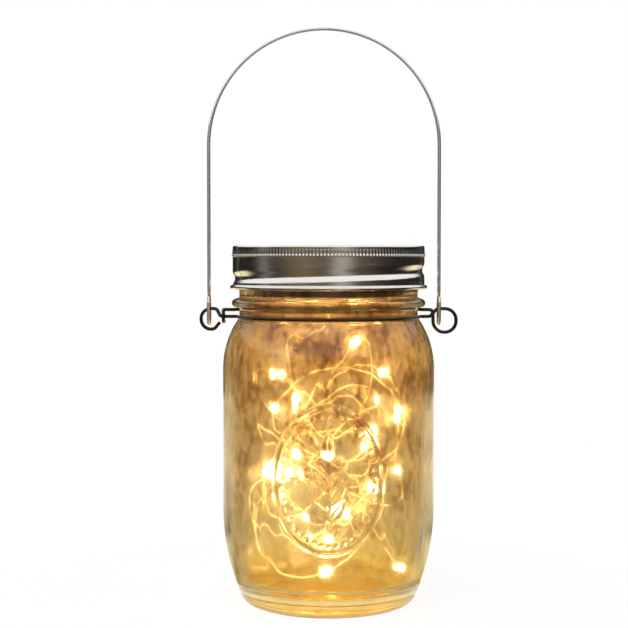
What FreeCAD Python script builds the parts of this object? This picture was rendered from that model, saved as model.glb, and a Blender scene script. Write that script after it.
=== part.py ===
import FreeCAD, Part
import math
import os

from FreeCAD import Vector

# A glass preserving jar made into a hanging lantern: screw band, solar lid, string of lights, wire bail.
# Millimetres. The origin is the centre of the base, +Z is up and the front faces -Y.

# Glass jar, regular-mouth pint
jar_height = 130.3
neck_radius = 33.5
shoulder_width = 6.2
glass_wall = 3.0
neck_wall = 3.7
shoulder_drop = 42.3
shoulder_radius = 33.0
inner_shoulder_round = 6.0
heel_rise = 36.0
heel_radius = 85.0
base_corner = 4.5
bearing_ring = 4.8
base_recess = 1.5
recess_slope = 2.0
floor_height = 5.0
floor_corner = 8.0
bead_height = 3.0
bead_reach = 2.85
bead_crown = 1.35
bead_flank = 0.6
rim_round = 0.8

# Screw band of thin tinplate
band_height = 16.2
band_sheet = 0.5
thread_room = 2.0
band_corner = 1.0
lip_overlap = 0.4
knurl_height = 3.4
knurl_proud = 0.15
groove_depth = 0.8
groove_half = 2.2
groove_rise = 5.6
hem_radius = 0.8
hem_proud = 1.0

# Lid insert of moulded plastic
gasket_thick = 1.2
gasket_inset = 0.4
flange_thick = 1.9
flange_gap = 0.9
boss_gap = 0.5
boss_sunk = 0.1
cup_gap = 1.8
cup_wall = 1.6
cup_depth = 17.0
ceiling_drop = 1.2
cover_thick = 1.5
spigot_wall = 1.2
spigot_rise = 1.4
seat_gap = 0.2
slide_gap = 0.1

# Solar panel under its clear window
panel_rim = 0.54
panel_corner = 3.0
panel_gap = 0.4
board_thick = 0.9
cell_thick = 0.3
window_thick = 0.7
cell_count = 6
cell_margin = 2.2
cell_spacing = 0.5

# Electronics in the cup
circuit_radius = 19.0
circuit_thick = 1.2
chip_length = 5.0
chip_width = 4.0
chip_thick = 1.6
choke_radius = 3.0
choke_height = 3.2
choke_waist = 0.8
choke_flange = 0.7
part_offset = 10.5
battery_radius = 5.25
nub_radius = 1.9
nub_height = 0.9
contact_margin = 2.4
contact_wall = 1.2
contact_width = 9.0
contact_sheet = 0.4
spring_depth = 2.6
saddle_width = 7.0
saddle_thick = 1.6
saddle_place = 13.0
saddle_lift = 0.8
screw_circle = 22.4
screw_count = 3
screw_radius = 1.0
screw_head = 1.8
screw_head_thick = 1.0
screw_length = 8.0
post_radius = 2.7
switch_length = 9.0
switch_width = 4.4
switch_thick = 3.4
switch_place = -15.0
slider_length = 2.4
slider_width = 1.8
slider_foot = 0.6
slider_foot_thick = 1.0
slider_reach = 1.2
slider_travel = 2.0
grommet_place = 13.5
grommet_radius = 1.9
grommet_flange = 3.0
grommet_flange_thick = 0.9

# Wire hanger
hanger_wire = 1.3
hanger_gap = 0.15
strand_rise = 2.5
strand_half = 1.0
hoop_bend = 2.0
ring_right_bend = 4.2
ring_left_bend = 3.7
ring_tip_bend = 2.0
strand_bend = 1.5
hook_bend = 1.0
hook_inset = 0.3
hook_front_gap = 0.45
hook_low_gap = 0.6
pivot_rise = 0.4
bail_gap_right = 1.15
bail_gap_left = 4.65
ring_right_inner = 2.1
ring_right_outer = 6.5
ring_right_drop = 8.9
ring_left_inner = 4.2
ring_left_outer = 3.0
ring_left_drop = 7.8
ring_left_heel = 1.9
ring_tip_inset = 4.0
ring_tip_rise = 2.6
bail_reach = 104.6
eye_half = 2.5
eye_drop = 5.6
eye_rise = 6.1
eye_shoulder = 2.2
eye_tip_rise = 4.4
eye_tip_lean = 1.7
eye_bottom_bend = 2.4

# String of lights: a loose coil from the lid down to the floor of the jar
light_wire = 0.6
coil_loops = 12
coil_top = 84.75
coil_bottom = 24.47
coil_radius = 21.85
coil_swell = 7.41
coil_swell_rate = 0.243
coil_swell_start = 4.269
coil_ripple = 1.764
coil_ripple_rate = 0.915
coil_ripple_start = 5.496
coil_tilt = 15.61
coil_tilt_change = 3.31
coil_tilt_rate = 0.403
coil_turning = 1.465
coil_lead = 9.0
least_coil_gap = 0.4
bead_count = 28
light_bead_radius = 1.6
light_bead_half = 2.1
bead_start = 60.0

# Heights and radii that follow
jar_radius = neck_radius + shoulder_width
mouth_radius = neck_radius - neck_wall
shoulder_height = jar_height - shoulder_drop
shoulder_centre = jar_radius - shoulder_radius
heel_centre = jar_radius - heel_radius
wire_radius = hanger_wire / 2
hoop_radius = neck_radius + wire_radius + hanger_gap
strand_reach = shoulder_radius + wire_radius + hanger_gap
low_strand = shoulder_height + math.sqrt(strand_reach**2 - (hoop_radius - shoulder_centre) ** 2)
high_strand = low_strand + strand_rise
bead_foot = high_strand + wire_radius - hanger_gap
bead_middle = bead_foot + bead_flank + bead_height / 2
pivot_height = high_strand + pivot_rise
flange_bottom = jar_height + gasket_thick
flange_top = flange_bottom + flange_thick
lip_bottom = flange_top + slide_gap
band_top = lip_bottom + band_sheet
band_inner = neck_radius + thread_room
band_outer = band_inner + band_sheet
band_bottom = band_top - band_height
lip_radius = mouth_radius + lip_overlap
boss_radius = lip_radius - boss_gap
boss_top = band_top - boss_sunk
cup_radius = mouth_radius - cup_gap
cup_inner = cup_radius - cup_wall
cover_bottom = flange_bottom - cup_depth
cover_top = cover_bottom + cover_thick
ceiling = flange_bottom - ceiling_drop
panel_side = (boss_radius - panel_rim - panel_corner) * math.sqrt(2) + 2 * panel_corner
window_top = boss_top - slide_gap
window_bottom = window_top - window_thick
cells_bottom = window_bottom - cell_thick
panel_floor = cells_bottom - board_thick


def unit(v):
    return v * (1 / v.Length)


def box(low, high):
    size = high - low
    return Part.makeBox(size.x, size.y, size.z, low)


def rod(radius, bottom, top, x=0.0, y=0.0):
    return Part.makeCylinder(radius, top - bottom, Vector(x, y, bottom))


def flat(r, z):
    return Vector(r, 0, z)


def line(a, b):
    return Part.LineSegment(a, b).toShape()


def arc(a, middle, b):
    return Part.Arc(a, middle, b).toShape()


# An arc from a to b in the r-z plane, on the circle of the given centre, the short way round
def arc_about(centre, a, b):
    middle = unit((a - centre) + (b - centre))
    return arc(a, centre + middle * (a - centre).Length, b)


def revolve(edges):
    face = Part.Face(Part.Wire(edges))
    return face.revolve(Vector(0, 0, 0), Vector(0, 0, 1), 360)


def outline(points):
    corners = [flat(r, z) for r, z in points]
    return [line(a, b) for a, b in zip(corners, corners[1:] + corners[:1])]


# A tube's path: straight runs through the points, each corner rounded by its own radius
def rounded_run(points, bends):
    edges = []
    start = points[0]
    for corner, after, bend in zip(points[1:], points[2:], bends):
        into = unit(corner - start)
        away = unit(after - corner)
        half_turn = into.getAngle(away) / 2
        setback = bend * math.tan(half_turn)
        begin = corner - into * setback
        end = corner + away * setback
        inward = unit(away - into)
        middle = corner + inward * (bend / math.cos(half_turn) - bend)
        edges.append(line(start, begin))
        edges.append(arc(begin, middle, end))
        start = end
    edges.append(line(start, points[-1]))
    return edges


# Two tangent arcs that join a to b with the given directions
def biarc(a, leaving, b, arriving):
    span = b - a
    both = leaving + arriving
    spread = 2 * (1 - leaving.dot(arriving))
    along = span.dot(both)
    reach = (math.sqrt(along**2 + spread * span.dot(span)) - along) / spread
    knee = (a + leaving * reach + b - arriving * reach) * 0.5
    edges = []
    for start, end, corner in ((a, knee, a + leaving * reach), (knee, b, b - arriving * reach)):
        chord_middle = (start + end) * 0.5
        turn = (corner - start).getAngle(end - start)
        share = math.tan(turn / 2) / math.tan(turn)
        edges.append(arc(start, chord_middle + (corner - chord_middle) * share, end))
    return edges


def tube(edges, radius):
    first = edges[0]
    start = first.valueAt(first.FirstParameter)
    heading = first.tangentAt(first.FirstParameter)
    section = Part.Wire(Part.Circle(start, heading, radius).toShape())
    path = Part.Wire(edges)
    solid = path.makePipeShell([section], True, False)
    expected = path.Length * math.pi * radius**2
    print(f"tube length {path.Length:.1f}, volume over section times length {solid.Volume / expected:.4f}")
    return solid


def fuse(shapes):
    return shapes[0].multiFuse(shapes[1:]).removeSplitter()


# Glass jar: one profile turned about the axis, outer wall up, inner wall down
def glass_jar():
    heel = flat(heel_centre, heel_rise)
    corner_side = heel_radius - base_corner
    corner = flat(heel_centre + math.sqrt(corner_side**2 - (heel_rise - base_corner) ** 2), base_corner)
    heel_end = heel + unit(corner - heel) * heel_radius
    ring_outer = flat(corner.x, 0)
    ring_inner = flat(corner.x - bearing_ring, 0)
    recess_edge = flat(ring_inner.x - recess_slope, base_recess)
    wall_foot = flat(jar_radius, heel_rise)
    wall_head = flat(jar_radius, shoulder_height)
    shoulder = flat(shoulder_centre, shoulder_height)
    groove_foot = shoulder_height + math.sqrt(shoulder_radius**2 - (neck_radius - shoulder_centre) ** 2)
    bead_edge = neck_radius + bead_reach - bead_crown
    bead_low = flat(bead_edge, bead_middle - bead_height / 2)
    bead_high = flat(bead_edge, bead_middle + bead_height / 2)
    bead_top = bead_high.z + bead_flank
    rim_side = flat(neck_radius, jar_height - rim_round)
    rim_outer = flat(neck_radius - rim_round, jar_height)
    rim_inner = flat(mouth_radius + rim_round, jar_height)
    mouth_edge = flat(mouth_radius, jar_height - rim_round)
    outer = [
        line(flat(0, base_recess), recess_edge),
        line(recess_edge, ring_inner),
        line(ring_inner, ring_outer),
        arc_about(corner, ring_outer, heel_end),
        arc_about(heel, heel_end, wall_foot),
        line(wall_foot, wall_head),
        arc_about(shoulder, wall_head, flat(neck_radius, groove_foot)),
        line(flat(neck_radius, groove_foot), flat(neck_radius, bead_foot)),
        line(flat(neck_radius, bead_foot), bead_low),
        arc(bead_low, flat(neck_radius + bead_reach, bead_middle), bead_high),
        line(bead_high, flat(neck_radius, bead_top)),
        line(flat(neck_radius, bead_top), rim_side),
        arc_about(flat(rim_outer.x, rim_side.z), rim_side, rim_outer),
        line(rim_outer, rim_inner),
        arc_about(flat(rim_inner.x, mouth_edge.z), rim_inner, mouth_edge),
    ]
    inner_shoulder = shoulder_radius - glass_wall
    round_centre_r = mouth_radius + inner_shoulder_round
    round_span = (inner_shoulder + inner_shoulder_round) ** 2 - (round_centre_r - shoulder_centre) ** 2
    round_centre = flat(round_centre_r, shoulder_height + math.sqrt(round_span))
    round_head = flat(mouth_radius, round_centre.z)
    round_foot = shoulder + unit(round_centre - shoulder) * inner_shoulder
    inner_head = flat(jar_radius - glass_wall, shoulder_height)
    inner_foot = flat(jar_radius - glass_wall, heel_rise)
    inner_heel = heel_radius - glass_wall
    floor_side = (inner_heel - floor_corner) ** 2 - (heel_rise - floor_height - floor_corner) ** 2
    floor_centre = flat(heel_centre + math.sqrt(floor_side), floor_height + floor_corner)
    floor_top = heel + unit(floor_centre - heel) * inner_heel
    floor_edge = flat(floor_centre.x, floor_height)
    inner = [
        line(mouth_edge, round_head),
        arc_about(round_centre, round_head, round_foot),
        arc_about(shoulder, round_foot, inner_head),
        line(inner_head, inner_foot),
        arc_about(heel, inner_foot, floor_top),
        arc_about(floor_centre, floor_top, floor_edge),
        line(floor_edge, flat(0, floor_height)),
        line(flat(0, floor_height), flat(0, base_recess)),
    ]
    return revolve(outer + inner)


# Screw band: open top with a flat lip, knurled strip, rolled thread groove and a rolled hem
def screw_band():
    groove = band_bottom + groove_rise
    knurl_outer = band_outer + knurl_proud
    knurl_foot = band_top - knurl_height
    hem = flat(band_outer + hem_proud - hem_radius, band_bottom + hem_radius)
    hem_top = hem.z + math.sqrt(hem_radius**2 - (hem.x - band_outer) ** 2)
    hem_low = hem.z - math.sqrt(hem_radius**2 - (hem.x - band_inner) ** 2)
    corner = flat(knurl_outer - band_corner, band_top - band_corner)
    inner_corner = band_corner - band_sheet
    inner_bend = flat(band_inner - inner_corner, lip_bottom - inner_corner)
    edges = [
        line(flat(lip_radius, band_top), flat(corner.x, band_top)),
        arc_about(corner, flat(corner.x, band_top), flat(knurl_outer, corner.z)),
        line(flat(knurl_outer, corner.z), flat(knurl_outer, knurl_foot)),
        line(flat(knurl_outer, knurl_foot), flat(band_outer, knurl_foot - knurl_proud)),
        line(flat(band_outer, knurl_foot - knurl_proud), flat(band_outer, groove + groove_half)),
        arc(
            flat(band_outer, groove + groove_half),
            flat(band_outer - groove_depth, groove),
            flat(band_outer, groove - groove_half),
        ),
        line(flat(band_outer, groove - groove_half), flat(band_outer, hem_top)),
        arc(flat(band_outer, hem_top), flat(hem.x + hem_radius, hem.z), flat(hem.x, band_bottom)),
        arc_about(hem, flat(hem.x, band_bottom), flat(band_inner, hem_low)),
        line(flat(band_inner, hem_low), flat(band_inner, groove - groove_half)),
        arc(
            flat(band_inner, groove - groove_half),
            flat(band_inner - groove_depth, groove),
            flat(band_inner, groove + groove_half),
        ),
        line(flat(band_inner, groove + groove_half), flat(band_inner, inner_bend.z)),
        arc_about(inner_bend, flat(band_inner, inner_bend.z), flat(inner_bend.x, lip_bottom)),
        line(flat(inner_bend.x, lip_bottom), flat(lip_radius, lip_bottom)),
        line(flat(lip_radius, lip_bottom), flat(lip_radius, band_top)),
    ]
    return revolve(edges)


def sealing_gasket():
    return rod(neck_radius - gasket_inset, jar_height, flange_bottom).cut(
        rod(mouth_radius + gasket_inset, jar_height, flange_bottom)
    )


def rounded_plate(side, bottom, top, corner):
    half = side / 2
    plate = box(Vector(-half, -half, bottom), Vector(half, half, top))
    upright = [e for e in plate.Edges if round(abs(e.tangentAt(e.FirstParameter).z)) == 1]
    return plate.makeFillet(corner, upright)


def screw_places():
    for i in range(screw_count):
        angle = math.radians(90 + 360 * i / screw_count)
        yield screw_circle * math.cos(angle), screw_circle * math.sin(angle)


# Lid housing: flange on the gasket, raised centre for the panel, cup that hangs in the neck
def lid_housing():
    body = revolve(
        outline(
            [
                (0, ceiling),
                (cup_inner, ceiling),
                (cup_inner, cover_top),
                (cup_radius, cover_top),
                (cup_radius, flange_bottom),
                (band_inner - flange_gap, flange_bottom),
                (band_inner - flange_gap, flange_top),
                (boss_radius, flange_top),
                (boss_radius, boss_top),
                (0, boss_top),
            ]
        )
    )
    posts = [rod(post_radius, cover_top, ceiling, x, y) for x, y in screw_places()]
    body = fuse([body] + posts)
    pilot_top = cover_top + screw_length
    pilots = [rod(screw_radius + slide_gap, cover_top, pilot_top, x, y) for x, y in screw_places()]
    pocket = rounded_plate(panel_side + panel_gap, panel_floor, boss_top, panel_corner + panel_gap / 2)
    return body.cut(pilots + [pocket])


def solar_board():
    return rounded_plate(panel_side, panel_floor, cells_bottom, panel_corner)


# Solar cells: equal strips side by side on the board
def solar_cells():
    span = panel_side - 2 * cell_margin
    width = (span + cell_spacing) / cell_count - cell_spacing
    strips = []
    for i in range(cell_count):
        left = -span / 2 + i * (width + cell_spacing)
        strips.append(box(Vector(left, -span / 2, cells_bottom), Vector(left + width, span / 2, window_bottom)))
    return Part.makeCompound(strips)


def panel_window():
    return rounded_plate(panel_side, window_bottom, window_top, panel_corner)


def circuit_board():
    return rod(circuit_radius, ceiling - circuit_thick, ceiling)


def driver_chip():
    under = ceiling - circuit_thick
    low = Vector(-chip_length / 2, -part_offset - chip_width / 2, under - chip_thick)
    return box(low, low + Vector(chip_length, chip_width, chip_thick))


# Choke: a bobbin with a waist between two flanges
def choke():
    under = ceiling - circuit_thick
    low = under - choke_height
    ring = rod(choke_radius, low + choke_flange, under - choke_flange, 0, part_offset).cut(
        rod(choke_radius - choke_waist, low, under, 0, part_offset)
    )
    return rod(choke_radius, low, under, 0, part_offset).cut(ring)


# The battery lies along X between the two contact walls of the cover
contact_face = cup_inner - contact_margin
battery_axis = cover_top + saddle_lift + battery_radius
battery_right = contact_face - contact_sheet - slide_gap
battery_left = -contact_face + spring_depth + slide_gap


def along_x(radius, left, right):
    return Part.makeCylinder(radius, right - left, Vector(left, 0, battery_axis), Vector(1, 0, 0))


def battery():
    body = along_x(battery_radius, battery_left, battery_right - nub_height)
    return fuse([body, along_x(nub_radius, battery_right - nub_height, battery_right)])


def positive_contact():
    half = contact_width / 2
    return box(
        Vector(contact_face - contact_sheet, -half, cover_top),
        Vector(contact_face, half, battery_axis + battery_radius),
    )


# Negative contact: one strip, flat on its wall and bowed out to the battery
def negative_contact():
    half = contact_width / 2
    foot = cover_top
    head = battery_axis + battery_radius
    wall = -contact_face
    bow = spring_depth - contact_sheet
    quarter = (head - foot) / 4
    front = arc(
        Vector(wall + contact_sheet, -half, foot + quarter),
        Vector(wall + bow + contact_sheet, -half, battery_axis),
        Vector(wall + contact_sheet, -half, head - quarter),
    )
    back = arc(
        Vector(wall, -half, head - quarter),
        Vector(wall + bow, -half, battery_axis),
        Vector(wall, -half, foot + quarter),
    )
    edges = [
        line(Vector(wall, -half, foot), Vector(wall + contact_sheet, -half, foot)),
        line(Vector(wall + contact_sheet, -half, foot), Vector(wall + contact_sheet, -half, foot + quarter)),
        front,
        line(Vector(wall + contact_sheet, -half, head - quarter), Vector(wall + contact_sheet, -half, head)),
        line(Vector(wall + contact_sheet, -half, head), Vector(wall, -half, head)),
        line(Vector(wall, -half, head), Vector(wall, -half, head - quarter)),
        back,
        line(Vector(wall, -half, foot + quarter), Vector(wall, -half, foot)),
    ]
    return Part.Face(Part.Wire(edges)).extrude(Vector(0, contact_width, 0))


# The slider's stem passes the cover, and its foot is held in the switch
slider_rest = -slider_travel / 2
foot_bottom = cover_top + seat_gap
foot_top = foot_bottom + slider_foot_thick


def around_switch(x_half, y_half, bottom, top, x=0.0):
    return box(
        Vector(x - x_half, switch_place - y_half, bottom),
        Vector(x + x_half, switch_place + y_half, top),
    )


def switch_slider():
    stem = around_switch(
        slider_length / 2, slider_width / 2, cover_bottom - slider_reach, foot_top, slider_rest
    )
    foot = around_switch(
        slider_length / 2 + slider_foot, slider_width / 2 + slider_foot, foot_bottom, foot_top, slider_rest
    )
    return fuse([stem, foot])


def switch_body():
    case = around_switch(switch_length / 2, switch_width / 2, cover_top, cover_top + switch_thick)
    room = around_switch(
        (slider_length + slider_travel) / 2 + slider_foot + seat_gap,
        slider_width / 2 + slider_foot + seat_gap,
        cover_top,
        foot_top + seat_gap,
    )
    return case.cut(room)


# Bottom cover: plate, locating spigot, battery saddles and contact walls
def bottom_cover():
    plate = rod(cup_radius, cover_bottom, cover_top)
    spigot_radius = cup_inner - seat_gap
    spigot = rod(spigot_radius, cover_top, cover_top + spigot_rise).cut(
        rod(spigot_radius - spigot_wall, cover_top, cover_top + spigot_rise)
    )
    clear_posts = [
        rod(post_radius + seat_gap, cover_top, cover_top + spigot_rise, x, y) for x, y in screw_places()
    ]
    spigot = spigot.cut(clear_posts)
    adds = [plate, spigot]
    half = contact_width / 2
    for side in (-1, 1):
        ends = sorted((side * contact_face, side * (contact_face + contact_wall)))
        adds.append(box(Vector(ends[0], -half, cover_top), Vector(ends[1], half, battery_axis)))
        middle = side * saddle_place
        low = Vector(middle - saddle_thick / 2, -saddle_width / 2, cover_top)
        adds.append(box(low, low + Vector(saddle_thick, saddle_width, saddle_lift + battery_radius / 2)))
    cover = fuse(adds)
    cuts = [along_x(battery_radius + slide_gap, battery_left, battery_right)]
    for x, y in screw_places():
        cuts.append(rod(screw_radius + slide_gap, cover_bottom, cover_top, x, y))
        cuts.append(rod(screw_head + slide_gap, cover_bottom, cover_bottom + screw_head_thick, x, y))
    cuts.append(
        around_switch(
            (slider_length + slider_travel) / 2 + seat_gap, slider_width / 2 + seat_gap, cover_bottom, cover_top
        )
    )
    cuts.append(rod(grommet_radius, cover_bottom, cover_top, 0, grommet_place))
    return cover.cut(cuts)


def cover_screws():
    screws = []
    for x, y in screw_places():
        neck = cover_bottom + screw_head_thick
        head = rod(screw_head, cover_bottom, neck, x, y)
        screws.append(fuse([head, rod(screw_radius, neck, cover_top + screw_length - seat_gap, x, y)]))
    return Part.makeCompound(screws)


grommet_top = cover_top + spigot_rise


def wire_grommet():
    sleeve = rod(grommet_radius, cover_bottom, grommet_top, 0, grommet_place)
    flange = rod(grommet_flange, cover_bottom - grommet_flange_thick, cover_bottom, 0, grommet_place)
    bore = rod(light_wire / 2, cover_bottom - grommet_flange_thick, grommet_top, 0, grommet_place)
    return fuse([sleeve, flange]).cut(bore)


# Hanger. The two legs of the bail stand clear of the jar's side, the right one closer than the left
leg_right = jar_radius + wire_radius + bail_gap_right
leg_left = -(jar_radius + wire_radius + bail_gap_left)


# Half of the neck hoop: a small bend off the strand, the round of the neck, a small bend out again
def hoop_half(side, height):
    bend_y = side * (strand_half + hoop_bend)
    bend_x = math.sqrt((hoop_radius + hoop_bend) ** 2 - bend_y**2)
    pieces = []
    ends = []
    for x in (-bend_x, bend_x):
        centre = Vector(x, bend_y, height)
        off_strand = Vector(x, side * strand_half, height)
        axis_point = Vector(0, 0, height)
        on_neck = axis_point + unit(centre - axis_point) * hoop_radius
        middle = centre + unit((off_strand - centre) + (on_neck - centre)) * hoop_bend
        pieces.append((off_strand, middle, on_neck))
        ends.append(off_strand)
    left, right = pieces
    edges = [
        arc(left[0], left[1], left[2]),
        arc(left[2], Vector(0, side * hoop_radius, height), right[2]),
        arc(right[2], right[1], right[0]),
    ]
    return edges, ends[0], ends[1]


# Neck wire: a hook on the left, round the back, a full loop on the right, round the front, a ring on the left
def neck_wire():
    back, back_left, back_right = hoop_half(1, high_strand)
    front, front_left, front_right = hoop_half(-1, low_strand)
    hook_x = -(jar_radius - hook_inset)
    hook_front = -strand_half - hanger_wire - hook_front_gap
    hook_low = low_strand - hanger_wire - hook_low_gap
    hook = [
        Vector(hook_x, strand_half / 2, hook_low),
        Vector(hook_x, hook_front, hook_low),
        Vector(hook_x, hook_front, high_strand),
        Vector(hook_x, strand_half, high_strand),
        back_left,
    ]
    inner = leg_right - ring_right_inner
    outer = leg_right + ring_right_outer
    low = pivot_height - ring_right_drop
    behind = strand_half
    right_ring = [
        back_right,
        Vector(inner, behind, high_strand),
        Vector(inner, behind, low),
        Vector(outer, behind / 2, low),
        Vector(outer, 0, pivot_height),
        Vector(leg_right - hanger_wire / 2, 0, pivot_height),
        Vector(inner - hanger_wire, -strand_half, low_strand),
        front_right,
    ]
    inner = leg_left + ring_left_inner
    outer = leg_left - ring_left_outer
    low = pivot_height - ring_left_drop
    left_ring = [
        front_left,
        Vector(hook_x - hanger_wire, -strand_half, low_strand),
        Vector(inner - hanger_wire, 0, pivot_height),
        Vector(outer, 0, pivot_height),
        Vector(outer, strand_half / 2, low),
        Vector(leg_left + ring_left_heel, strand_half, low),
        Vector(leg_left + ring_tip_inset, strand_half, low + ring_tip_rise),
    ]
    edges = rounded_run(hook, [hook_bend, hook_bend, hook_bend])
    edges += back
    edges += rounded_run(
        right_ring, [strand_bend, ring_right_bend, ring_right_bend, ring_right_bend, strand_bend, strand_bend]
    )
    edges += reversed_path(front)
    edges += rounded_run(left_ring, [strand_bend, strand_bend, ring_left_bend, ring_left_bend, ring_tip_bend])
    return tube(edges, wire_radius)


# The same edges, walked from the far end
def reversed_path(edges):
    turned = []
    for edge in reversed(edges):
        first, last = edge.FirstParameter, edge.LastParameter
        turned.append(arc(edge.valueAt(last), edge.valueAt((first + last) / 2), edge.valueAt(first)))
    return turned


# Bail: a half round over two straight legs, each ending in a drop-shaped eye round a ring's top strand
def bail_handle():
    middle = (leg_left + leg_right) / 2
    round_radius = (leg_right - leg_left) / 2
    spring_line = pivot_height + bail_reach - round_radius
    eye = [
        Vector(0, 0, spring_line),
        Vector(0, 0, pivot_height + eye_rise),
        Vector(0, eye_half, pivot_height + eye_shoulder),
        Vector(0, eye_half, pivot_height - eye_drop),
        Vector(0, -eye_half, pivot_height - eye_drop),
        Vector(0, -eye_half, pivot_height + eye_shoulder),
        Vector(0, -eye_tip_lean, pivot_height + eye_tip_rise),
    ]
    bends = [eye_half, eye_half, eye_bottom_bend, eye_bottom_bend, eye_half]
    left = rounded_run([p + Vector(leg_left, 0, 0) for p in reversed(eye)], bends[::-1])
    right = rounded_run([p + Vector(leg_right, 0, 0) for p in eye], bends)
    top = Vector(middle, 0, spring_line + round_radius)
    arch = arc(Vector(leg_left, 0, spring_line), top, Vector(leg_right, 0, spring_line))
    return tube(left + [arch] + right, wire_radius)


# A point of the loose coil after a number of turns: the loops swell, ripple and tilt as they go down
def coil_point(turns):
    full = 2 * math.pi
    radius = coil_radius + coil_swell * math.sin(full * coil_swell_rate * turns + coil_swell_start)
    radius += coil_ripple * math.sin(full * coil_ripple_rate * turns + coil_ripple_start)
    tilt = coil_tilt + coil_tilt_change * math.sin(full * coil_tilt_rate * turns)
    height = coil_top - (coil_top - coil_bottom) * turns / coil_loops
    height += tilt * math.sin(full * coil_turning * turns)
    angle = full * turns + math.pi / 2
    return Vector(radius * math.cos(angle), radius * math.sin(angle), height)


def coil_heading(turns):
    step = 0.001
    return unit(coil_point(turns + step) - coil_point(turns - step))


def light_path():
    start = Vector(0, grommet_place, grommet_top)
    lead = Vector(0, grommet_place, cover_bottom - coil_lead)
    edges = [line(start, lead)]
    stations = [i / 4 for i in range(4 * coil_loops + 1)]
    point, heading = lead, Vector(0, 0, -1)
    for turns in stations[1:]:
        following, turned = coil_point(turns), coil_heading(turns)
        edges += biarc(point, heading, following, turned)
        point, heading = following, turned
    return edges


def places_along(edges, distances):
    places = []
    passed = 0.0
    wanted = list(distances)
    for edge in edges:
        while wanted and wanted[0] <= passed + edge.Length:
            parameter = edge.getParameterByLength(wanted.pop(0) - passed)
            places.append((edge.valueAt(parameter), edge.tangentAt(parameter)))
        passed += edge.Length
    return places


# The least gap between stretches of the wire that are more than a half loop apart
def coil_gap(edges):
    length = sum(e.Length for e in edges)
    step = 1.5
    count = int(length / step)
    points = [p for p, t in places_along(edges, [i * step for i in range(count)])]
    apart = int(coil_radius * math.pi / step)
    least = length
    for i, a in enumerate(points):
        for b in points[i + apart :]:
            least = min(least, (a - b).Length)
    return least - light_wire


def light_wire_tube(edges):
    bends = [e.Curve.Radius for e in edges if hasattr(e.Curve, "Radius")]
    gap = coil_gap(edges)
    print(f"coil radii {min(bends):.1f} to {max(bends):.1f}, least gap {gap:.2f}")
    if gap < least_coil_gap:
        print("the coil comes too close to itself")
    return tube(edges, light_wire / 2)


# Light beads: a drop of clear resin round each light, evenly along the wire, the last one on its end
def light_beads(edges):
    length = sum(e.Length for e in edges)
    pitch = (length - bead_start - light_bead_half) / (bead_count - 1)
    drop = Part.Face(
        Part.Wire(
            [
                arc(flat(0, -light_bead_half), flat(light_bead_radius, 0), flat(0, light_bead_half)),
                line(flat(0, light_bead_half), flat(0, -light_bead_half)),
            ]
        )
    ).revolve(Vector(0, 0, 0), Vector(0, 0, 1), 360)
    beads = []
    for place, heading in places_along(edges, [bead_start + i * pitch for i in range(bead_count)]):
        bead = drop.copy()
        bead.Placement = FreeCAD.Placement(place, FreeCAD.Rotation(Vector(0, 0, 1), heading))
        beads.append(bead)
    return Part.makeCompound(beads)


lights = light_path()
nodes = {
    "glass_jar": glass_jar(),
    "screw_band": screw_band(),
    "sealing_gasket": sealing_gasket(),
    "lid_housing": lid_housing(),
    "solar_board": solar_board(),
    "solar_cells": solar_cells(),
    "panel_window": panel_window(),
    "circuit_board": circuit_board(),
    "driver_chip": driver_chip(),
    "choke": choke(),
    "battery": battery(),
    "positive_contact": positive_contact(),
    "negative_contact": negative_contact(),
    "switch_body": switch_body(),
    "switch_slider": switch_slider(),
    "bottom_cover": bottom_cover(),
    "cover_screws": cover_screws(),
    "wire_grommet": wire_grommet(),
    "neck_wire": neck_wire(),
    "bail_handle": bail_handle(),
    "light_wire": light_wire_tube(lights),
    "light_beads": light_beads(lights),
}
os.makedirs("parts", exist_ok=True)
for name, shape in nodes.items():
    size = shape.BoundBox
    print(f"{name}: {len(shape.Solids)} solids, valid {shape.isValid()}, volume {shape.Volume:.1f}", end=", ")
    print(f"z {size.ZMin:.2f} to {size.ZMax:.2f}, x {size.XMin:.2f} to {size.XMax:.2f}")
    shape.exportStep(f"parts/{name}.step")
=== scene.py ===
import bpy
import math
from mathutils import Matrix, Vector


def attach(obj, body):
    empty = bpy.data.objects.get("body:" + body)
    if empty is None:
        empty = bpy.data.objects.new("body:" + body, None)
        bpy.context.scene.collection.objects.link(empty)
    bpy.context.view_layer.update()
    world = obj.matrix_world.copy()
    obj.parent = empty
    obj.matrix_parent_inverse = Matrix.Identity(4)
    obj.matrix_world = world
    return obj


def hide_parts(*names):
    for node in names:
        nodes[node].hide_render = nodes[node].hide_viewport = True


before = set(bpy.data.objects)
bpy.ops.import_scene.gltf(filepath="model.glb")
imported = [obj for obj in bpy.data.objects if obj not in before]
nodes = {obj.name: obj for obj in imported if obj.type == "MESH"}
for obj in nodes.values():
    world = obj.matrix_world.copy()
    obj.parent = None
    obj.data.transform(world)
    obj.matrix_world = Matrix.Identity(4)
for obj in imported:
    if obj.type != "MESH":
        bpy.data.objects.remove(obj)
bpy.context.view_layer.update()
scene = bpy.context.scene
scene.view_settings.view_transform = "Standard"
mm = 0.001
print("frame loaded:", len(nodes), "nodes")


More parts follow.
